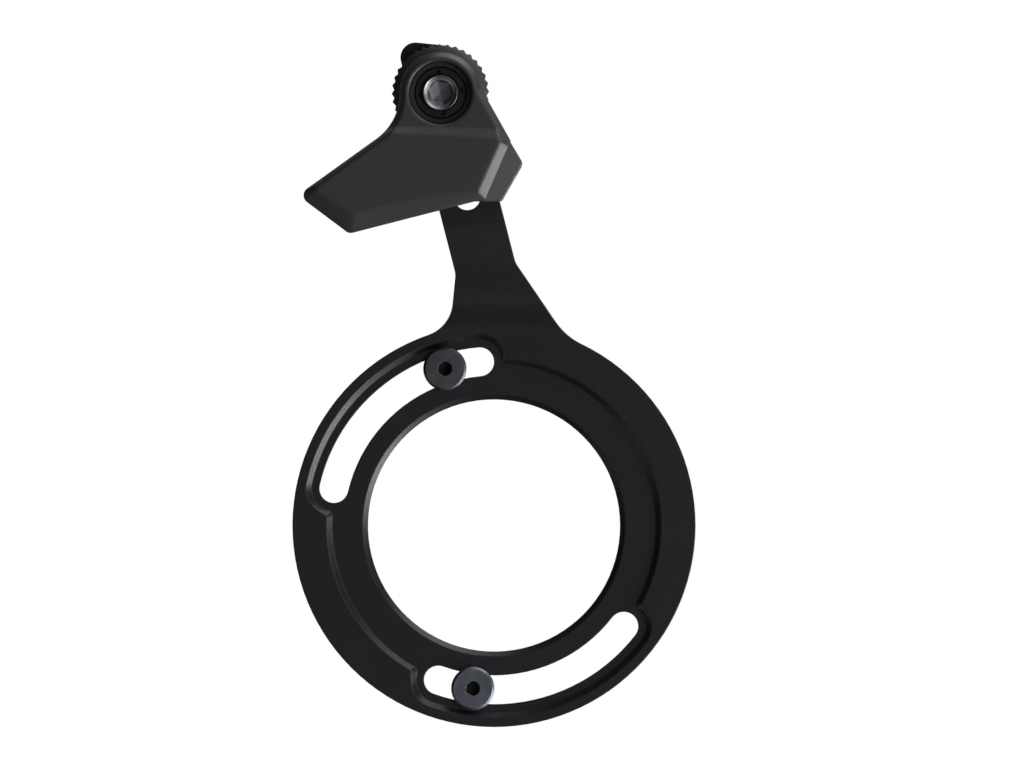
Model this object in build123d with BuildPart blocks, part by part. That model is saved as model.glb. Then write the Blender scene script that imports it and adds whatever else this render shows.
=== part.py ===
from build123d import *
import os
from math import cos, radians, sin

os.makedirs("parts", exist_ok=True)

# The ring lies in the XZ plane and heights are measured towards -Y from its mounting face

# Mounting ring
ring_diameter = 80.0
bore_diameter = 50.0
plate_thickness = 4.0
bore_chamfer = 1.0
recess_depth = 1.0
recess_radius = 32.15
recess_slope = 45.0
recess_runout = 0.3
recess_corner = 1.0
slot_circle = 32.6
slot_width = 5.7
slot_land = 1.65
slot_span = 72.0
upper_slot_start = 95.0
lower_slot_start = 250.2

# Mounting bolts
bolt_clock = 12.4
bolt_head_diameter = 8.6
bolt_head_height = 1.6
bolt_head_chamfer = 0.45
bolt_hex = 2.5
bolt_hex_depth = 2.0
bolt_shoulder = 5.5
bolt_thread = 5.0
bolt_reach = 8.0
bolt_tip_chamfer = 0.6

# Arm
pivot_x = -10.63
pivot_rise = 45.87
arm_lean = 14.4
arm_half_width = 6.05
arm_foot_depth = 10.0
arm_left_foot = -9.6
arm_right_foot = 19.4
arm_left_kink = -35.6
arm_right_kink = -36.4
arm_top_left = 12.3
arm_top_right = 7.8
arm_kink_radius = 4.0
arm_left_blend = 7.2
arm_right_blend = 13.0
arm_tab_radius = 3.0
arm_end_radius = 4.5
lower_step = 3.0
lower_step_rise = -0.7
lower_step_length = 4.5
lower_bend_radius = 7.5
upper_step = 1.4
upper_step_rise = 12.8
upper_step_length = 6.0
upper_bend_radius = 12.0
arm_slot_width = 5.2
arm_slot_low = -21.36
arm_slot_high = 5.0

# Slot nut
nut_width = 11.0
nut_length = 15.0
nut_thickness = 2.6
nut_corner = 2.0
nut_edge = 0.4
nut_lug_width = 5.0
nut_lug_length = 10.0
nut_lug_height = 3.2
thread_clearance = 0.05

# Knurled dial
dial_diameter = 19.35
dial_teeth = 36
dial_groove_depth = 0.46
dial_groove_turn = 2.0
dial_cutter = 1.0
dial_thickness = 4.4
dial_thread = 11.0
dial_mouth = 0.5

# Guide body
dial_gap = 1.6
arm_gap = 1.6
ear_thickness = 2.0
inner_wall = 2.0
channel_width = 8.6
roof_top = -10.0
roof_thickness = 2.0
seam = 0.2
spigot_length = 4.6
bolt_clearance = 0.2
key_width = 5.0
key_top = -10.1
key_bottom = -16.5
key_reach = 4.0
lead_in_place = (6.83, -17.33, 0)
lead_in_turn = -38.0
lead_in_slope = 12.0

# Guide cover
cover_wall = 2.4
side_wall = 2.0
boss_radius = 8.1
boss_post = 7.6
boss_bevel_height = 1.3
boss_bevel_width = 1.05
face_rise = 1.0
face_bevel_height = 1.3
face_edge_radius = 0.5
cup_depth = 4.8
cup_radius = 6.2
cup_rim = 0.3
pocket_floor = 2.2
peg_height = 1.5
peg_clearance = 0.15

# Cup washer and pivot bolt
washer_radius = 5.4
washer_height = 2.0
washer_seat_depth = 1.0
washer_seat_radius = 3.75
washer_edge = 0.5
washer_notches = 4
washer_notch_turn = -8.0
washer_notch_width = 1.0
washer_notch_reach = 4.5
pivot_head_radius = 3.5
pivot_head_height = 2.7
pivot_head_chamfer = 0.15
pivot_dish_radius = 3.2
pivot_dish_floor = 2.15
pivot_dish_depth = 0.55
pivot_hex = 4.0
pivot_hex_depth = 1.9
pivot_thread = 5.0
pivot_tip_chamfer = 0.5

# Places on the arm, measured up from the ring's rim
ring_radius = ring_diameter / 2
pivot_z = ring_radius + pivot_rise
arm_foot = ring_radius - arm_foot_depth
lower_step_start = ring_radius + lower_step_rise
lower_step_end = lower_step_start + lower_step_length
upper_step_start = ring_radius + upper_step_rise
upper_step_end = upper_step_start + upper_step_length

# Heights that follow from the sizes above
recess_floor = plate_thickness - recess_depth
arm_back = lower_step + upper_step
arm_front = arm_back + plate_thickness
ear_back = arm_front + dial_thickness + dial_gap
ear_front = ear_back + ear_thickness
inner_back = arm_front + arm_gap
inner_front = inner_back + inner_wall
cover_inside = inner_front + channel_width
cover_face = cover_inside + cover_wall
face_base = cover_face - face_bevel_height
plateau = cover_face - face_rise
boss_base = plateau - boss_bevel_height
roof_bottom = roof_top - roof_thickness
cup_floor = plateau - cup_depth
head_seat = cup_floor + washer_height - washer_seat_depth
head_top = head_seat + pivot_head_height
cutter_circle = dial_diameter / 2 - dial_groove_depth + dial_cutter
nut_back = arm_back - nut_thickness

# Outline of the guide cover in the arm's own directions, across and along from the pivot
hub = (0.0, 0.0)
nose = (-32.5, -12.65)
heel = (-24.5, -22.6)
toe = (3.45, -22.6)
brow = (11.15, -12.75)
shoulder = (7.75, 0.0)
neck_blend = 11.0
nose_radius = 1.7
heel_radius = 1.6

# Foot and top of the raised face on the cover
foot_neck = (-9.66, -3.79)
foot_brow = (10.53, -13.55)
foot_shoulder = (9.31, -8.98)
face_neck = (-11.6, -5.4)
face_nose = (-29.06, -12.16)
face_heel = (-22.9, -19.35)
face_belly = (-8.0, -19.45)
face_toe = (2.3, -20.85)
face_brow = (9.12, -12.35)
face_shoulder = (8.94, -11.68)
face_nose_radius = 0.8
face_heel_radius = 1.4

# Outline of the inner plate and the roof
inner_brow = (10.15, roof_top)
inner_corner = (12.45, -17.79)
inner_tip = (6.47, -23.95)
inner_toe = (0.05, -22.3)
inner_heel = (-23.2, -22.3)
inner_nose = (-31.0, -12.6)
inner_neck = (-24.3, roof_top)
inner_corner_radius = 1.6
inner_tip_radius = 0.8
inner_nose_radius = 2.0
roof_left = (-28.9, roof_bottom)
roof_right = (10.7, roof_bottom)


def on_arm(across, along):
    """Turn a place in the arm's own directions into X and Z."""
    lean = radians(arm_lean)
    return (
        pivot_x + across * cos(lean) - along * sin(lean),
        pivot_z + across * sin(lean) + along * cos(lean),
    )


arm_plane = Plane(
    origin=(pivot_x, 0, pivot_z),
    x_dir=(cos(radians(arm_lean)), 0, sin(radians(arm_lean))),
    z_dir=(0, -1, 0),
)
lead_in_plane = Plane(
    arm_plane.offset(inner_front).location
    * Location(lead_in_place, (0, 0, lead_in_turn))
    * Location((0, 0, 0), (0, lead_in_slope, 0))
)
upper_path = CenterArc((0, 0), slot_circle, upper_slot_start, slot_span)
lower_path = CenterArc((0, 0), slot_circle, lower_slot_start, slot_span)

# Back plate with ring and arm
with BuildPart() as back_plate:
    with BuildSketch(Plane.XZ) as plate_outline:
        Circle(ring_radius)
        with BuildLine():
            Polyline(
                (arm_left_foot, arm_foot),
                on_arm(-arm_half_width, arm_left_kink),
                on_arm(-arm_half_width, arm_top_left),
                on_arm(arm_half_width, arm_top_right),
                on_arm(arm_half_width, arm_right_kink),
                (arm_right_foot, arm_foot),
                close=True,
            )
        make_face()
        tab_corner = plate_outline.vertices().sort_by_distance(on_arm(-arm_half_width, arm_top_left))[0]
        fillet(tab_corner, arm_tab_radius)
        end_corner = plate_outline.vertices().sort_by_distance(on_arm(arm_half_width, arm_top_right))[0]
        fillet(end_corner, arm_end_radius)
        left_kink = plate_outline.vertices().sort_by_distance(on_arm(-arm_half_width, arm_left_kink))[0]
        fillet(left_kink, arm_kink_radius)
        right_kink = plate_outline.vertices().sort_by_distance(on_arm(arm_half_width, arm_right_kink))[0]
        fillet(right_kink, arm_kink_radius)
        right_roots = plate_outline.vertices().filter_by(
            lambda corner: abs(corner.center().length - ring_radius) < 0.01 and corner.Y > arm_foot
        )
        fillet(right_roots.sort_by(Axis.X)[-1], arm_right_blend)
        left_roots = plate_outline.vertices().filter_by(
            lambda corner: abs(corner.center().length - ring_radius) < 0.01 and corner.Y > arm_foot
        )
        fillet(left_roots.sort_by(Axis.X)[0], arm_left_blend)
    extrude(amount=arm_front)
    with BuildSketch(Plane.YZ) as side_profile:
        with BuildLine():
            Polyline(
                (0, -ring_diameter),
                (0, lower_step_start),
                (-lower_step, lower_step_end),
                (-lower_step, upper_step_start),
                (-arm_back, upper_step_end),
                (-arm_back, 2 * ring_diameter),
                (-arm_front, 2 * ring_diameter),
                (-arm_front, upper_step_end),
                (-lower_step - plate_thickness, upper_step_start),
                (-lower_step - plate_thickness, lower_step_end),
                (-plate_thickness, lower_step_start),
                (-plate_thickness, -ring_diameter),
                close=True,
            )
        make_face()
        lower_bends = side_profile.vertices().filter_by_position(Axis.Y, lower_step_start, lower_step_end)
        fillet(lower_bends, lower_bend_radius)
        upper_bends = side_profile.vertices().filter_by_position(Axis.Y, upper_step_start, upper_step_end)
        fillet(upper_bends, upper_bend_radius)
    extrude(amount=ring_diameter, both=True, mode=Mode.INTERSECT)
    with BuildSketch(Plane.XZ.offset(recess_floor)) as recess:
        Circle(recess_radius)
        SlotArc(arc=upper_path, height=slot_width + 2 * slot_land)
        SlotArc(arc=lower_path, height=slot_width + 2 * slot_land)
        recess_corners = recess.vertices().filter_by(lambda corner: corner.center().length < slot_circle)
        fillet(recess_corners, recess_corner)
    extrude(amount=recess_depth + recess_runout, taper=-recess_slope, mode=Mode.SUBTRACT)
    with BuildSketch(Plane.XZ):
        Circle(bore_diameter / 2)
        SlotArc(arc=upper_path, height=slot_width)
        SlotArc(arc=lower_path, height=slot_width)
    extrude(amount=plate_thickness, mode=Mode.SUBTRACT)
    bore_rims = back_plate.edges().filter_by(GeomType.CIRCLE).filter_by(
        lambda edge: abs(edge.radius - bore_diameter / 2) < 0.01
    )
    chamfer(bore_rims.sort_by(Axis.Y)[0], bore_chamfer)
    with BuildSketch(arm_plane.offset(arm_back)):
        with Locations((0, (arm_slot_low + arm_slot_high) / 2)):
            SlotCenterToCenter(arm_slot_high - arm_slot_low, arm_slot_width, rotation=90)
    extrude(amount=plate_thickness, mode=Mode.SUBTRACT)

# Slot nut behind the arm, with two lugs in the arm slot
with BuildPart() as slot_nut:
    with BuildSketch(arm_plane.offset(nut_back)):
        RectangleRounded(nut_width, nut_length, nut_corner)
    extrude(amount=nut_thickness)
    chamfer(slot_nut.faces().sort_by(Axis.Y)[-1].edges(), nut_edge)
    with BuildSketch(arm_plane.offset(arm_back)):
        SlotOverall(nut_lug_length, nut_lug_width, rotation=90)
    extrude(amount=nut_lug_height)
    with BuildSketch(arm_plane.offset(nut_back)):
        Circle(pivot_thread / 2 + thread_clearance)
    extrude(amount=nut_thickness + nut_lug_height, mode=Mode.SUBTRACT)

# Knurled dial that bears on the arm
with BuildPart() as adjuster_dial:
    with BuildSketch(arm_plane.offset(arm_front)):
        Circle(dial_diameter / 2)
        with PolarLocations(cutter_circle, dial_teeth, start_angle=dial_groove_turn):
            RegularPolygon(dial_cutter, 6, mode=Mode.SUBTRACT)
    extrude(amount=dial_thickness)
    with BuildSketch(arm_plane.offset(arm_front)):
        Circle(dial_thread / 2 + thread_clearance)
    extrude(amount=dial_thickness, mode=Mode.SUBTRACT)
    thread_rims = adjuster_dial.edges().filter_by(GeomType.CIRCLE).filter_by(
        lambda edge: abs(edge.radius - dial_thread / 2 - thread_clearance) < 0.01
    )
    chamfer(thread_rims.sort_by(Axis.Y)[0], dial_mouth)

# Guide body with inner plate, roof, ear, spigot and slot key
with BuildPart() as guide_body:
    with BuildSketch(arm_plane.offset(inner_back)) as inner_outline:
        with BuildLine():
            Polyline(
                inner_brow,
                inner_corner,
                inner_tip,
                inner_toe,
                inner_heel,
                inner_nose,
                inner_neck,
                close=True,
            )
        make_face()
        fillet(inner_outline.vertices().sort_by_distance(inner_corner)[0], inner_corner_radius)
        fillet(inner_outline.vertices().sort_by_distance(inner_tip)[0], inner_tip_radius)
        fillet(inner_outline.vertices().sort_by_distance(inner_nose)[0], inner_nose_radius)
        fillet(inner_outline.vertices().sort_by_distance(inner_heel)[0], heel_radius)
    extrude(amount=inner_wall)
    split(bisect_by=lead_in_plane, keep=Keep.BOTTOM)
    with BuildSketch(arm_plane.offset(inner_back)):
        with BuildLine():
            Polyline(inner_brow, roof_right, roof_left, inner_neck, close=True)
        make_face()
    extrude(amount=ear_front - inner_back)
    with BuildSketch(arm_plane.offset(ear_back)) as ear_outline:
        with BuildLine():
            Polyline(hub, roof_left, roof_right, shoulder, close=True)
        make_face()
        Circle(boss_radius)
        fillet(ear_outline.vertices().sort_by(Axis.X)[1], neck_blend)
        offset(amount=-seam)
    extrude(amount=ear_thickness)
    with BuildSketch(arm_plane.offset(ear_front)) as pegs:
        with BuildLine():
            Polyline(hub, roof_left, roof_right, shoulder, close=True)
        make_face()
        offset(amount=-side_wall - peg_clearance)
        Circle(boss_post + peg_clearance, mode=Mode.SUBTRACT)
    extrude(amount=peg_height)
    with BuildSketch(arm_plane.offset(ear_back)):
        Circle(dial_thread / 2)
    extrude(amount=-spigot_length)
    with BuildSketch(arm_plane.offset(inner_back)):
        with Locations((0, (key_top + key_bottom) / 2)):
            SlotOverall(key_top - key_bottom, key_width, rotation=90)
    extrude(amount=-key_reach)
    with BuildSketch(arm_plane.offset(ear_front)):
        Circle(pivot_thread / 2 + bolt_clearance)
    extrude(amount=-ear_thickness - spigot_length, mode=Mode.SUBTRACT)

# Guide cover with bevelled face, boss and cup
with BuildPart() as guide_cover:
    with BuildSketch(arm_plane.offset(ear_front)) as cover_outline:
        with BuildLine():
            Polyline(hub, nose, heel, toe, brow, shoulder, close=True)
        make_face()
        Circle(boss_radius)
        fillet(cover_outline.vertices().sort_by(Axis.X)[2], neck_blend)
        fillet(cover_outline.vertices().sort_by_distance(nose)[0], nose_radius)
        fillet(cover_outline.vertices().sort_by_distance(heel)[0], heel_radius)
    extrude(amount=plateau - ear_front)
    boss_top = guide_cover.faces().sort_by(Axis.Y)[0]
    chamfer(boss_top.edges(), boss_bevel_width, boss_bevel_height, reference=boss_top)
    with BuildSketch(arm_plane.offset(boss_base)) as face_block:
        with BuildLine():
            Polyline(foot_neck, nose, heel, toe, foot_brow, foot_shoulder, close=True)
        make_face()
        fillet(face_block.vertices().sort_by_distance(nose)[0], nose_radius)
        fillet(face_block.vertices().sort_by_distance(heel)[0], heel_radius)
    extrude(amount=face_base - boss_base)
    with BuildSketch(arm_plane.offset(face_base)) as face_foot:
        with BuildLine():
            Polyline(foot_neck, nose, heel, toe, foot_brow, foot_shoulder, close=True)
        make_face()
        fillet(face_foot.vertices().sort_by_distance(nose)[0], nose_radius)
        fillet(face_foot.vertices().sort_by_distance(heel)[0], heel_radius)
    with BuildSketch(arm_plane.offset(cover_face)) as face_top:
        with BuildLine():
            Polyline(face_toe, face_brow, face_shoulder, face_neck, face_nose, face_heel)
            ThreePointArc(face_heel, face_belly, face_toe)
        make_face()
        fillet(face_top.vertices().sort_by_distance(face_nose)[0], face_nose_radius)
        fillet(face_top.vertices().sort_by_distance(face_heel)[0], face_heel_radius)
    loft(ruled=True)
    raised_face = guide_cover.faces().sort_by(Axis.Y)[0]
    fillet(raised_face.edges(), face_edge_radius)
    with BuildSketch(arm_plane.offset(ear_front)):
        with Locations((0, roof_bottom)):
            Rectangle(ring_diameter, ring_diameter, align=(Align.CENTER, Align.MAX))
    extrude(amount=cover_inside - ear_front, mode=Mode.SUBTRACT)
    with BuildSketch(arm_plane.offset(ear_front)):
        with BuildLine():
            Polyline(hub, roof_left, roof_right, shoulder, close=True)
        make_face()
        offset(amount=-side_wall)
        Circle(boss_post, mode=Mode.SUBTRACT)
    extrude(amount=plateau - pocket_floor - ear_front, mode=Mode.SUBTRACT)
    with BuildSketch(arm_plane.offset(cup_floor)):
        Circle(cup_radius)
    extrude(amount=cover_face - cup_floor, mode=Mode.SUBTRACT)
    cup_rims = guide_cover.edges().filter_by(GeomType.CIRCLE).filter_by(
        lambda edge: abs(edge.radius - cup_radius) < 0.01
    )
    chamfer(cup_rims.sort_by(Axis.Y)[0], cup_rim)
    with BuildSketch(arm_plane.offset(ear_front)):
        Circle(pivot_thread / 2 + bolt_clearance)
    extrude(amount=cup_floor - ear_front, mode=Mode.SUBTRACT)

# Notched cup washer in the cover's cup
with BuildPart() as cup_washer:
    with BuildSketch(arm_plane.offset(cup_floor)):
        Circle(washer_radius)
    extrude(amount=washer_height)
    chamfer(cup_washer.faces().sort_by(Axis.Y)[0].edges(), washer_edge)
    with BuildSketch(arm_plane.offset(head_seat)):
        Circle(washer_seat_radius)
        with PolarLocations(washer_notch_reach / 2, washer_notches, start_angle=washer_notch_turn):
            Rectangle(washer_notch_reach, washer_notch_width)
    extrude(amount=washer_height, mode=Mode.SUBTRACT)
    with BuildSketch(arm_plane.offset(cup_floor)):
        Circle(pivot_thread / 2 + bolt_clearance)
    extrude(amount=washer_height, mode=Mode.SUBTRACT)

# Pivot bolt through the guide, the dial and the slot nut
with BuildPart() as pivot_bolt:
    with BuildSketch(arm_plane.offset(head_seat)):
        Circle(pivot_head_radius)
    extrude(amount=pivot_head_height)
    chamfer(pivot_bolt.faces().sort_by(Axis.Y)[0].edges(), pivot_head_chamfer)
    with Locations(arm_plane.offset(head_top)):
        Cone(
            pivot_dish_floor,
            pivot_dish_radius,
            pivot_dish_depth,
            align=(Align.CENTER, Align.CENTER, Align.MAX),
            mode=Mode.SUBTRACT,
        )
    with BuildSketch(arm_plane.offset(head_top)):
        RegularPolygon(pivot_hex / 2, 6, major_radius=False)
    extrude(amount=-pivot_hex_depth, mode=Mode.SUBTRACT)
    with BuildSketch(arm_plane.offset(head_seat)):
        Circle(pivot_thread / 2)
    extrude(amount=nut_back - head_seat)
    chamfer(pivot_bolt.faces().sort_by(Axis.Y)[-1].edges(), pivot_tip_chamfer)

# Mounting bolts in the two ring slots
upper_clock = radians(upper_slot_start + bolt_clock)
upper_plane = Plane(
    origin=(slot_circle * cos(upper_clock), 0, slot_circle * sin(upper_clock)),
    x_dir=(1, 0, 0),
    z_dir=(0, -1, 0),
)
with BuildPart() as mount_bolt_upper:
    with BuildSketch(upper_plane.offset(recess_floor)):
        Circle(bolt_head_diameter / 2)
    extrude(amount=bolt_head_height)
    chamfer(mount_bolt_upper.faces().sort_by(Axis.Y)[0].edges(), bolt_head_chamfer)
    with BuildSketch(upper_plane.offset(recess_floor + bolt_head_height)):
        RegularPolygon(bolt_hex / 2, 6, major_radius=False)
    extrude(amount=-bolt_hex_depth, mode=Mode.SUBTRACT)
    with BuildSketch(upper_plane):
        Circle(bolt_shoulder / 2)
    extrude(amount=recess_floor)
    with BuildSketch(upper_plane):
        Circle(bolt_thread / 2)
    extrude(amount=-bolt_reach)
    chamfer(mount_bolt_upper.faces().sort_by(Axis.Y)[-1].edges(), bolt_tip_chamfer)

lower_clock = radians(lower_slot_start + bolt_clock)
lower_plane = Plane(
    origin=(slot_circle * cos(lower_clock), 0, slot_circle * sin(lower_clock)),
    x_dir=(1, 0, 0),
    z_dir=(0, -1, 0),
)
with BuildPart() as mount_bolt_lower:
    with BuildSketch(lower_plane.offset(recess_floor)):
        Circle(bolt_head_diameter / 2)
    extrude(amount=bolt_head_height)
    chamfer(mount_bolt_lower.faces().sort_by(Axis.Y)[0].edges(), bolt_head_chamfer)
    with BuildSketch(lower_plane.offset(recess_floor + bolt_head_height)):
        RegularPolygon(bolt_hex / 2, 6, major_radius=False)
    extrude(amount=-bolt_hex_depth, mode=Mode.SUBTRACT)
    with BuildSketch(lower_plane):
        Circle(bolt_shoulder / 2)
    extrude(amount=recess_floor)
    with BuildSketch(lower_plane):
        Circle(bolt_thread / 2)
    extrude(amount=-bolt_reach)
    chamfer(mount_bolt_lower.faces().sort_by(Axis.Y)[-1].edges(), bolt_tip_chamfer)

# Parts written out
back_plate.part.label = "back_plate"
export_step(back_plate.part, "parts/back_plate.step")
slot_nut.part.label = "slot_nut"
export_step(slot_nut.part, "parts/slot_nut.step")
adjuster_dial.part.label = "adjuster_dial"
export_step(adjuster_dial.part, "parts/adjuster_dial.step")
guide_body.part.label = "guide_body"
export_step(guide_body.part, "parts/guide_body.step")
guide_cover.part.label = "guide_cover"
export_step(guide_cover.part, "parts/guide_cover.step")
cup_washer.part.label = "cup_washer"
export_step(cup_washer.part, "parts/cup_washer.step")
pivot_bolt.part.label = "pivot_bolt"
export_step(pivot_bolt.part, "parts/pivot_bolt.step")
mount_bolt_upper.part.label = "mount_bolt_upper"
export_step(mount_bolt_upper.part, "parts/mount_bolt_upper.step")
mount_bolt_lower.part.label = "mount_bolt_lower"
export_step(mount_bolt_lower.part, "parts/mount_bolt_lower.step")
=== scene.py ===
import math

import bmesh
import bpy
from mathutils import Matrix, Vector


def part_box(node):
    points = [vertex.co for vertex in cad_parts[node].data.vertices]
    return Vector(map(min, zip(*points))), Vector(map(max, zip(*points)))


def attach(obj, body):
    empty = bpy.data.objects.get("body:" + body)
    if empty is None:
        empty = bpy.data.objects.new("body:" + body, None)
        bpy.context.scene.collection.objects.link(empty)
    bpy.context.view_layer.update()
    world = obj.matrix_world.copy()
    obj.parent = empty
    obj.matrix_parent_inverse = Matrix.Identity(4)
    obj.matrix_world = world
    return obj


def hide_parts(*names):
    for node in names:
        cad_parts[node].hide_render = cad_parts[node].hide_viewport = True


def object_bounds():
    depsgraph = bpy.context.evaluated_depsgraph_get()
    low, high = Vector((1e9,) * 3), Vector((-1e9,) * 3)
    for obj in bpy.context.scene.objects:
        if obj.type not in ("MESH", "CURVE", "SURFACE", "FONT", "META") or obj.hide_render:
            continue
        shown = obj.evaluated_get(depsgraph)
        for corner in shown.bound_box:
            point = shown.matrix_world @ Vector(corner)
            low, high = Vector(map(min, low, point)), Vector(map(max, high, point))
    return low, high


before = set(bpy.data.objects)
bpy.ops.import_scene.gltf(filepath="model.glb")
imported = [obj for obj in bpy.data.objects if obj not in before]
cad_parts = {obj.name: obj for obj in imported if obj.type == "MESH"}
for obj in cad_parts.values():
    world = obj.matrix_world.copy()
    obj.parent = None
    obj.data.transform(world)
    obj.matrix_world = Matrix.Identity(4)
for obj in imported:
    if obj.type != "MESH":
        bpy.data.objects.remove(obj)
cad_low, cad_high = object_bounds()
millimetre = 0.001

# The photograph's frame: a straight front view with next to no perspective
image_width_px = 1024
image_height_px = 768
pixels_per_millimetre = 5.04
ring_centre_px = (494.0, 525.5)
camera_distance = 1.0

# Soft edges that the moulds and the machining leave
plate_edge = 0.38 * millimetre
plastic_edge = 0.85 * millimetre
dial_edge = 0.12 * millimetre
bolt_edge = 0.1 * millimetre
edge_samples = 8

# Noise in the finishes: the span of it that is used, and the sizes of blotches and grain
noise_low = 0.3
noise_high = 0.7
surface_blotch = 9 * millimetre
turned_blotch = 1.5 * millimetre
turned_strength = 0.4
plated_blotch = 2.0 * millimetre
plated_grain = 0.1 * millimetre
plated_grain_depth = 0.004 * millimetre
floor_blotch = 30 * millimetre
floor_tones = ((0.8, 0.8, 0.8), (0.82, 0.82, 0.82))

# Steps round a turned piece, enough for 36 grooves and for the corners of a hexagon
ring_steps = 144
# Faces that meet at more than this keep a crisp edge between them
crisp_angle = math.radians(30)

# Knurled dial
dial_teeth = 36
dial_groove = 0.46 * millimetre
dial_groove_turn = math.radians(6.4)
dial_bore = 5.55 * millimetre
dial_bevel_width = 1.6 * millimetre
dial_bevel_depth = 0.6 * millimetre
dial_tooth_bevel = 0.2 * millimetre
dial_back_bevel = 0.3 * millimetre

# Ring that fills the cup round the washer
cup_ring_inside = 5.42 * millimetre
cup_ring_lip = 5.22 * millimetre
cup_ring_lip_depth = 0.45 * millimetre
cup_ring_outside = 6.17 * millimetre
cup_ring_drop = 0.1 * millimetre
cup_ring_edge = 0.12 * millimetre

# Pivot bolt
pivot_socket = 4.0 * millimetre
pivot_socket_turn = math.radians(14.4)
pivot_socket_depth = 1.9 * millimetre
pivot_socket_point = 0.2 * millimetre
pivot_drill_tip = 0.05 * millimetre
pivot_mouth = 2.55 * millimetre
pivot_mouth_depth = 1.3 * millimetre
pivot_dish = 3.3 * millimetre
pivot_dish_depth = 0.26 * millimetre
pivot_dish_steps = 6
pivot_rim = 0.15 * millimetre
pivot_head = 2.7 * millimetre
pivot_shank = 2.5 * millimetre
pivot_thread = 5.0 * millimetre

# Mounting bolts, whose heads stop a hair short of the floor of the recess
bolt_socket = 2.5 * millimetre
bolt_socket_depth = 3.2 * millimetre
bolt_mouth = 1.46 * millimetre
bolt_mouth_depth = 0.2 * millimetre
bolt_head = 1.59 * millimetre
bolt_chamfer = 0.45 * millimetre
bolt_shoulder = 2.75 * millimetre
thread_crest = 2.5 * millimetre
thread_root = 2.05 * millimetre
thread_pitch = 0.8 * millimetre
thread_start = 0.2 * millimetre
thread_tip = 0.6 * millimetre
rows_per_pitch = 8

# Axis of the pivot bolt, read from its CAD part
pivot_low, pivot_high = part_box("pivot_bolt")
pivot_axis = (pivot_low + pivot_high) / 2


class NodeTree:
    """A short way to add and join shader nodes."""

    def __init__(self, tree):
        self.tree = tree

    def add(self, kind, **settings):
        """Add a node; a setting is a property, or an input when it names one."""
        node = self.tree.nodes.new("ShaderNode" + kind)
        for name, value in settings.items():
            if hasattr(node, name):
                setattr(node, name, value)
            else:
                node.inputs[name.replace("_", " ").title()].default_value = value
        return node

    def join(self, source, target):
        """Link an output to an input."""
        self.tree.links.new(source, target)


def new_material(name):
    """A material with one Principled shader, and its tree."""
    material = bpy.data.materials.new(name)
    material.use_nodes = True
    nodes = NodeTree(material.node_tree)
    return material, nodes, material.node_tree.nodes["Principled BSDF"]


def two_tones(nodes, factor, dark, light):
    """Colour that wanders between two tones."""
    ramp = nodes.add("ValToRGB")
    ramp.color_ramp.elements[0].position = noise_low
    ramp.color_ramp.elements[0].color = (*dark, 1.0)
    ramp.color_ramp.elements[1].position = noise_high
    ramp.color_ramp.elements[1].color = (*light, 1.0)
    nodes.join(factor, ramp.inputs["Fac"])
    return ramp.outputs["Color"]


def spread(nodes, factor, low, high):
    """Number that wanders between two values."""
    reach = nodes.add("MapRange")
    reach.inputs["From Min"].default_value = noise_low
    reach.inputs["From Max"].default_value = noise_high
    reach.inputs["To Min"].default_value = low
    reach.inputs["To Max"].default_value = high
    nodes.join(factor, reach.inputs["Value"])
    return reach.outputs["Result"]


def noise(nodes, coordinates, grain_size, detail=2.0):
    """Noise whose blotches are about grain_size across, in metres."""
    texture = nodes.add("TexNoise")
    texture.inputs["Scale"].default_value = 1 / grain_size
    texture.inputs["Detail"].default_value = detail
    nodes.join(coordinates, texture.inputs["Vector"])
    return texture.outputs["Fac"]


def soft_edge(nodes, radius):
    """Normal that rolls round each edge, as a real edge does."""
    bevel = nodes.add("Bevel", samples=edge_samples)
    bevel.inputs["Radius"].default_value = radius
    return bevel.outputs["Normal"]


def bump(nodes, height, normal, depth, strength=1.0):
    """Relief of the given depth, in metres, over a normal."""
    relief = nodes.add("Bump")
    relief.inputs["Strength"].default_value = strength
    relief.inputs["Distance"].default_value = depth
    nodes.join(height, relief.inputs["Height"])
    nodes.join(normal, relief.inputs["Normal"])
    return relief.outputs["Normal"]


def grained_surface(name, tones, roughness, specular, edge, grain_size, grain_depth):
    """A dark surface with a fine grain, blotchy gloss and soft edges."""
    material, nodes, shader = new_material(name)
    place = nodes.add("TexCoord").outputs["Object"]
    broad = noise(nodes, place, surface_blotch, detail=3.0)
    fine = noise(nodes, place, grain_size, detail=4.0)
    nodes.join(two_tones(nodes, broad, *tones), shader.inputs["Base Color"])
    nodes.join(spread(nodes, fine, *roughness), shader.inputs["Roughness"])
    shader.inputs["Specular IOR Level"].default_value = specular
    normal = bump(nodes, fine, soft_edge(nodes, edge), grain_depth)
    nodes.join(normal, shader.inputs["Normal"])
    return material


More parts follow.
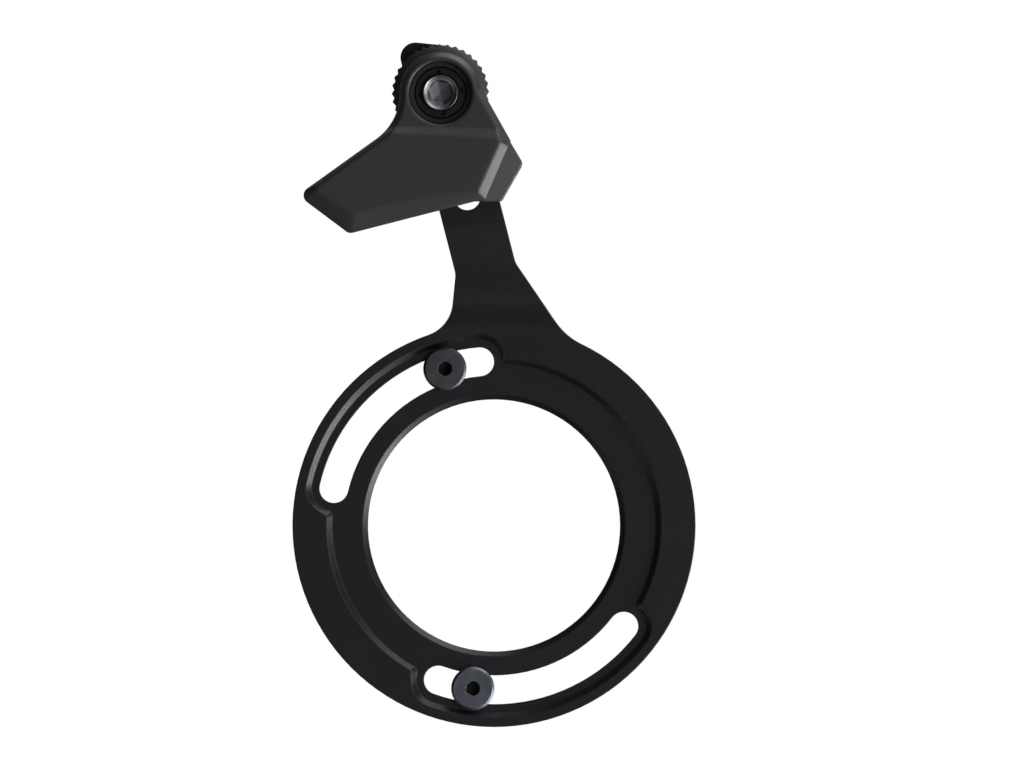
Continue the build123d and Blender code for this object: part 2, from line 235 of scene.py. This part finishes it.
def turned_steel(name, tones, roughness, edge, ring_pitch, ring_depth):
    """Bare steel turned on a lathe: fine rings about the pivot bolt's axis."""
    material, nodes, shader = new_material(name)
    place = nodes.add("TexCoord").outputs["Object"]
    flatten = nodes.add("VectorMath", operation="MULTIPLY")
    flatten.inputs[1].default_value = (1.0, 0.0, 1.0)
    nodes.join(place, flatten.inputs[0])
    reach = nodes.add("VectorMath", operation="DISTANCE")
    reach.inputs[1].default_value = (pivot_axis.x, 0.0, pivot_axis.z)
    nodes.join(flatten.outputs["Vector"], reach.inputs[0])
    turns = nodes.add("Math", operation="MULTIPLY")
    turns.inputs[1].default_value = 2 * math.pi / ring_pitch
    nodes.join(reach.outputs["Value"], turns.inputs[0])
    wave = nodes.add("Math", operation="SINE")
    nodes.join(turns.outputs["Value"], wave.inputs[0])
    broad = noise(nodes, place, turned_blotch, detail=3.0)
    nodes.join(two_tones(nodes, broad, *tones), shader.inputs["Base Color"])
    nodes.join(spread(nodes, broad, *roughness), shader.inputs["Roughness"])
    shader.inputs["Metallic"].default_value = 1.0
    edges = soft_edge(nodes, edge)
    normal = bump(nodes, wave.outputs["Value"], edges, ring_depth, turned_strength)
    nodes.join(normal, shader.inputs["Normal"])
    return material


def plated_steel(name, tones, roughness, edge):
    """Dark plated steel, with a faint grain and blotchy gloss."""
    material, nodes, shader = new_material(name)
    place = nodes.add("TexCoord").outputs["Object"]
    broad = noise(nodes, place, plated_blotch, detail=3.0)
    fine = noise(nodes, place, plated_grain, detail=3.0)
    nodes.join(two_tones(nodes, broad, *tones), shader.inputs["Base Color"])
    nodes.join(spread(nodes, broad, *roughness), shader.inputs["Roughness"])
    shader.inputs["Metallic"].default_value = 1.0
    normal = bump(nodes, fine, soft_edge(nodes, edge), plated_grain_depth)
    nodes.join(normal, shader.inputs["Normal"])
    return material


def dress(material, *names):
    """Give CAD nodes their finished material."""
    for name in names:
        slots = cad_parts[name].data.materials
        slots.clear()
        slots.append(material)


# Finishes
anodised = grained_surface(
    "anodised_plate",
    tones=((0.0037, 0.0041, 0.0056), (0.005, 0.0055, 0.0072)),
    roughness=(0.34, 0.42),
    specular=0.44,
    edge=plate_edge,
    grain_size=0.12 * millimetre,
    grain_depth=0.006 * millimetre,
)
moulded = grained_surface(
    "moulded_plastic",
    tones=((0.0115, 0.0115, 0.0118), (0.0145, 0.0145, 0.0148)),
    roughness=(0.4, 0.5),
    specular=0.62,
    edge=plastic_edge,
    grain_size=0.2 * millimetre,
    grain_depth=0.012 * millimetre,
)
dial_finish = grained_surface(
    "dial_plastic",
    tones=((0.009, 0.009, 0.0093), (0.0115, 0.0115, 0.0118)),
    roughness=(0.4, 0.5),
    specular=0.62,
    edge=dial_edge,
    grain_size=0.2 * millimetre,
    grain_depth=0.01 * millimetre,
)
black_oxide = grained_surface(
    "black_oxide",
    tones=((0.004, 0.004, 0.0043), (0.006, 0.006, 0.0063)),
    roughness=(0.35, 0.5),
    specular=0.45,
    edge=bolt_edge,
    grain_size=0.1 * millimetre,
    grain_depth=0.004 * millimetre,
)
bright_steel = turned_steel(
    "bright_steel",
    tones=((0.31, 0.305, 0.33), (0.35, 0.345, 0.37)),
    roughness=(0.29, 0.35),
    edge=bolt_edge,
    ring_pitch=0.25 * millimetre,
    ring_depth=0.002 * millimetre,
)
# The two mounting bolts are one steel: the upper copy is darker, painted shade, and the lower
# copy lighter and bluer, painted light
upper_bolt_painted_shade_steel = plated_steel(
    "upper_bolt_painted_shade_steel",
    tones=((0.095, 0.095, 0.107), (0.115, 0.115, 0.128)),
    roughness=(0.42, 0.52),
    edge=bolt_edge,
)
lower_bolt_painted_light_steel = plated_steel(
    "lower_bolt_painted_light_steel",
    tones=((0.135, 0.144, 0.172), (0.157, 0.166, 0.198)),
    roughness=(0.42, 0.52),
    edge=bolt_edge,
)
dress(anodised, "back_plate")
dress(moulded, "guide_body", "guide_cover")
dress(black_oxide, "cup_washer", "slot_nut")


def circle(radius):
    """The same reach all round."""
    return lambda turn: radius


def hexagon(across_flats, first_flat=0.0):
    """Reach of a hexagon, with the middle of one side at first_flat."""
    half_side = math.pi / 6

    def reach(turn):
        from_middle = (turn - first_flat + half_side) % (2 * half_side) - half_side
        return across_flats / 2 / math.cos(from_middle)

    return reach


def saw(place):
    """A wave with straight flanks, 0 at whole numbers and 1 half way between."""
    return 1 - abs(2 * (place % 1) - 1)


def grooved(radius):
    """Reach of the dial's rim, with a groove at each whole step."""

    def reach(turn):
        place = (turn - dial_groove_turn) * dial_teeth / (2 * math.pi)
        return radius - dial_groove + dial_groove * saw(place)

    return reach


def thread(depth, start):
    """Reach of a right-hand thread that grows to its full height over the first turn."""
    height = (thread_crest - thread_root) * min(1.0, (depth - start) / thread_pitch)

    def reach(turn):
        return thread_root + height * saw(depth / thread_pitch + turn / (2 * math.pi))

    return reach


def thread_rows(start, tip):
    """Rows of a thread that runs from start to a chamfered tip."""
    length = tip - thread_tip - start
    count = round(length / thread_pitch * rows_per_pitch)
    rows = []
    for step in range(count + 1):
        depth = start + length * step / count
        rows.append((depth, thread(depth, start)))
    rows.append((tip, circle(thread_crest - thread_tip)))
    return rows


def turned_piece(
    name, axis, rows, finishes, body, hollow=False, first_turn=0.0, shade_painted_rows=0
):
    """A piece made of rings round an axis along Y; each row is a depth and a reach.

    The first end and the first shade_painted_rows bands take the second, darker finish,
    painted shade in a socket.
    """
    shape = bmesh.new()
    rings = []
    for depth, reach in rows:
        ring = []
        for step in range(ring_steps):
            turn = first_turn + 2 * math.pi * step / ring_steps
            out = reach(turn)
            x = axis.x + out * math.cos(turn)
            z = axis.z + out * math.sin(turn)
            ring.append(shape.verts.new((x, depth, z)))
        rings.append(ring)
    pairs = list(zip(rings, rings[1:]))
    if hollow:
        pairs.append((rings[-1], rings[0]))
    else:
        shape.faces.new(rings[0]).material_index = 1 if shade_painted_rows else 0
        shape.faces.new(rings[-1])
    for row, (near, far) in enumerate(pairs):
        for step in range(ring_steps):
            face = shape.faces.new((near[step - 1], near[step], far[step], far[step - 1]))
            face.material_index = 1 if row < shade_painted_rows else 0
    bmesh.ops.recalc_face_normals(shape, faces=shape.faces)
    mesh = bpy.data.meshes.new(name)
    shape.to_mesh(mesh)
    shape.free()
    mesh.shade_smooth()
    mesh.set_sharp_from_angle(angle=crisp_angle)
    for finish in finishes:
        mesh.materials.append(finish)
    piece = bpy.data.objects.new(name, mesh)
    bpy.context.scene.collection.objects.link(piece)
    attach(piece, body)
    return piece


def knurled_dial():
    """The dial with its grooved rim and a broad bevel in front."""
    low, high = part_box("adjuster_dial")
    rim = (high.x - low.x) / 2
    rows = [
        (high.y, circle(dial_bore)),
        (high.y, circle(rim - dial_groove - dial_back_bevel)),
        (high.y - dial_back_bevel, grooved(rim)),
        (low.y + dial_bevel_depth + dial_tooth_bevel, grooved(rim)),
        (low.y + dial_bevel_depth, circle(rim - dial_groove)),
        (low.y, circle(rim - dial_bevel_width)),
        (low.y, circle(dial_bore)),
    ]
    piece = turned_piece(
        "knurled_dial", (low + high) / 2, rows, [dial_finish], "dial",
        hollow=True, first_turn=dial_groove_turn,
    )
    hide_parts("adjuster_dial")


def cup_ring():
    """A black ring on the floor of the cup, with a lip over the washer's chamfer."""
    low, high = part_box("cup_washer")
    top = low.y + cup_ring_drop
    rows = [
        (high.y, circle(cup_ring_inside)),
        (low.y + cup_ring_lip_depth, circle(cup_ring_inside)),
        (top, circle(cup_ring_lip)),
        (top, circle(cup_ring_outside - cup_ring_edge)),
        (top + cup_ring_edge, circle(cup_ring_outside)),
        (high.y, circle(cup_ring_outside)),
    ]
    turned_piece(
        "cup_ring", pivot_axis, rows, [dial_finish], "guide",
        hollow=True,
    )


def dished_bolt():
    """The pivot bolt, with a dished head, a drilled hexagon socket and a thread at its end."""
    top = pivot_low.y
    tip = pivot_high.y
    head = (pivot_high.x - pivot_low.x) / 2
    socket = hexagon(pivot_socket, pivot_socket_turn)
    rows = [
        (top + pivot_socket_depth + pivot_socket_point, circle(pivot_drill_tip)),
        (top + pivot_socket_depth, socket),
        (top + pivot_mouth_depth, socket),
    ]
    for step in range(pivot_dish_steps + 1):
        part = step / pivot_dish_steps
        sink = pivot_dish_depth * (1 - part**2)
        rows.append((top + sink, circle(pivot_mouth + (pivot_dish - pivot_mouth) * part)))
    rows += [
        (top, circle(head - pivot_rim)),
        (top + pivot_rim, circle(head)),
        (top + pivot_head, circle(head)),
        (top + pivot_head, circle(pivot_shank)),
        (tip - pivot_thread, circle(pivot_shank)),
    ]
    rows += thread_rows(tip - pivot_thread, tip)
    piece = turned_piece(
        "dished_bolt", pivot_axis, rows, [bright_steel], "guide",
        first_turn=pivot_socket_turn,
    )
    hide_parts("pivot_bolt")


def threaded_bolt(name, node, material):
    """A mounting bolt with a chamfered head, a deep hexagon socket and a real thread."""
    low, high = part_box(node)
    head = (high.x - low.x) / 2
    top = low.y
    tip = high.y
    socket = hexagon(bolt_socket)
    rows = [
        (top + bolt_socket_depth, socket),
        (top + bolt_mouth_depth, socket),
        (top, circle(bolt_mouth)),
        (top, circle(head - bolt_chamfer)),
        (top + bolt_chamfer, circle(head)),
        (top + bolt_head, circle(head)),
        (top + bolt_head, circle(bolt_shoulder)),
        (0.0, circle(bolt_shoulder)),
        (0.0, circle(thread_root)),
    ]
    rows += thread_rows(thread_start, tip)
    # The black oxide inside the socket is painted shade; the bolt itself is all steel
    piece = turned_piece(
        name, (low + high) / 2, rows, [material, black_oxide], "mount_bolts",
        shade_painted_rows=2,
    )
    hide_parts(node)


knurled_dial()
cup_ring()
dished_bolt()
# The upper bolt gets the darker steel with painted shade, the lower bolt the lighter steel
# with painted light
threaded_bolt("threaded_bolt_upper", "mount_bolt_upper", upper_bolt_painted_shade_steel)
threaded_bolt("threaded_bolt_lower", "mount_bolt_lower", lower_bolt_painted_light_steel)


def softbox(name, turn, off_axis, distance, width, height, radiance):
    """A soft rectangular lamp that looks at the object's middle.

    turn is its direction round the picture, anticlockwise from the right, and off_axis is
    its angle from the camera's axis, both in degrees. radiance is how bright its face looks.
    """
    lamp = bpy.data.lights.new(name, "AREA")
    lamp.shape = "RECTANGLE"
    lamp.size = width
    lamp.size_y = height
    lamp.energy = radiance * math.pi * width * height
    holder = bpy.data.objects.new(name, lamp)
    turn = math.radians(turn)
    off_axis = math.radians(off_axis)
    sideways = math.sin(off_axis)
    x = sideways * math.cos(turn)
    z = sideways * math.sin(turn)
    direction = Vector((x, -math.cos(off_axis), z))
    holder.location = middle + distance * direction
    holder.rotation_euler = direction.to_track_quat("Z", "Y").to_euler()
    holder.visible_camera = False
    bpy.context.scene.collection.objects.link(holder)


def white_surroundings(ambient, behind_from, behind_full):
    """White for the camera, white behind for reflections, and dim light for the rest.

    The white behind begins at a direction whose Y is behind_from, and is full at behind_full.
    """
    world = bpy.data.worlds.new("studio")
    bpy.context.scene.world = world
    world.use_nodes = True
    world.cycles.sampling_method = "NONE"
    nodes = NodeTree(world.node_tree)
    background = world.node_tree.nodes["Background"]
    background.inputs["Color"].default_value = (1.0, 1.0, 1.0, 1.0)
    path = nodes.add("LightPath")
    direction = nodes.add("SeparateXYZ")
    nodes.join(nodes.add("TexCoord").outputs["Generated"], direction.inputs["Vector"])
    behind = nodes.add("MapRange")
    behind.inputs["From Min"].default_value = behind_from
    behind.inputs["From Max"].default_value = behind_full
    nodes.join(direction.outputs["Y"], behind.inputs["Value"])
    mirrored = nodes.add("Math", operation="MAXIMUM")
    nodes.join(path.outputs["Is Glossy Ray"], mirrored.inputs[0])
    nodes.join(path.outputs["Is Transmission Ray"], mirrored.inputs[1])
    seen = nodes.add("Math", operation="MULTIPLY_ADD")
    nodes.join(mirrored.outputs["Value"], seen.inputs[0])
    nodes.join(behind.outputs["Result"], seen.inputs[1])
    nodes.join(path.outputs["Is Camera Ray"], seen.inputs[2])
    strength = nodes.add("Math", operation="MULTIPLY_ADD")
    nodes.join(path.outputs["Is Diffuse Ray"], strength.inputs[0])
    strength.inputs[1].default_value = ambient
    nodes.join(seen.outputs["Value"], strength.inputs[2])
    nodes.join(strength.outputs["Value"], background.inputs["Strength"])


def pale_floor(height, size, seen_light):
    """A pale light table that melts into the white, and lets low lamps through."""
    mesh = bpy.data.meshes.new("floor")
    signs = [(-1, -1), (1, -1), (1, 1), (-1, 1)]
    corners = [(size * across, size * along, height) for across, along in signs]
    mesh.from_pydata(corners, [], [(0, 1, 2, 3)])
    floor = bpy.data.objects.new("floor", mesh)
    bpy.context.scene.collection.objects.link(floor)
    floor.visible_shadow = False
    floor.visible_glossy = False
    material, nodes, shader = new_material("pale_floor")
    place = nodes.add("TexCoord").outputs["Object"]
    paper = noise(nodes, place, floor_blotch)
    nodes.join(two_tones(nodes, paper, *floor_tones), shader.inputs["Base Color"])
    shader.inputs["Roughness"].default_value = 0.9
    shader.inputs["Specular IOR Level"].default_value = 0.1
    shader.inputs["Emission Color"].default_value = (1.0, 1.0, 1.0, 1.0)
    seen = nodes.add("Math", operation="MULTIPLY")
    seen.inputs[1].default_value = seen_light
    nodes.join(nodes.add("LightPath").outputs["Is Camera Ray"], seen.inputs[0])
    nodes.join(seen.outputs["Value"], shader.inputs["Emission Strength"])
    mesh.materials.append(material)


# Studio: one strong box at the lower right, weaker ones round the edge, large ones in front
middle = (cad_low + cad_high) / 2
white_surroundings(ambient=0.34, behind_from=0.5, behind_full=0.8)
pale_floor(height=cad_low.z, size=1.2, seen_light=0.75)
# Name, turn, off_axis, distance, width, height and radiance
lamps = [
    ("lower_right", -28, 78, 0.55, 0.36, 0.36, 11.5),
    ("low_right_fill", -55, 80, 0.55, 0.36, 0.30, 1.5),
    ("top", 82, 88, 0.55, 0.40, 0.30, 2.2),
    ("right_edge", 57, 87, 0.55, 0.40, 0.30, 3.2),
    ("upper_right", 50, 55, 0.7, 0.40, 0.40, 0.8),
    ("front_right", -15, 33, 3.0, 1.9, 1.5, 2.2),
    ("front_upper", 62, 42, 1.4, 0.9, 0.6, 1.1),
    ("front_lower", -130, 30, 1.4, 0.6, 0.6, 0.6),
    ("lower_left", 212, 80, 0.55, 0.2, 0.2, 1.0),
]
for lamp in lamps:
    softbox(*lamp)

# Camera, level and looking along +Y
camera = bpy.data.objects.new("camera", bpy.data.cameras.new("camera"))
camera.data.type = "ORTHO"
camera.data.ortho_scale = image_width_px / pixels_per_millimetre * millimetre
across = (image_width_px / 2 - ring_centre_px[0]) / pixels_per_millimetre * millimetre
up = (ring_centre_px[1] - image_height_px / 2) / pixels_per_millimetre * millimetre
camera.location = (across, -camera_distance, up)
camera.rotation_euler = (math.radians(90), 0.0, 0.0)
bpy.context.scene.collection.objects.link(camera)
bpy.context.scene.camera = camera
bpy.context.scene.view_settings.view_transform = "Standard"
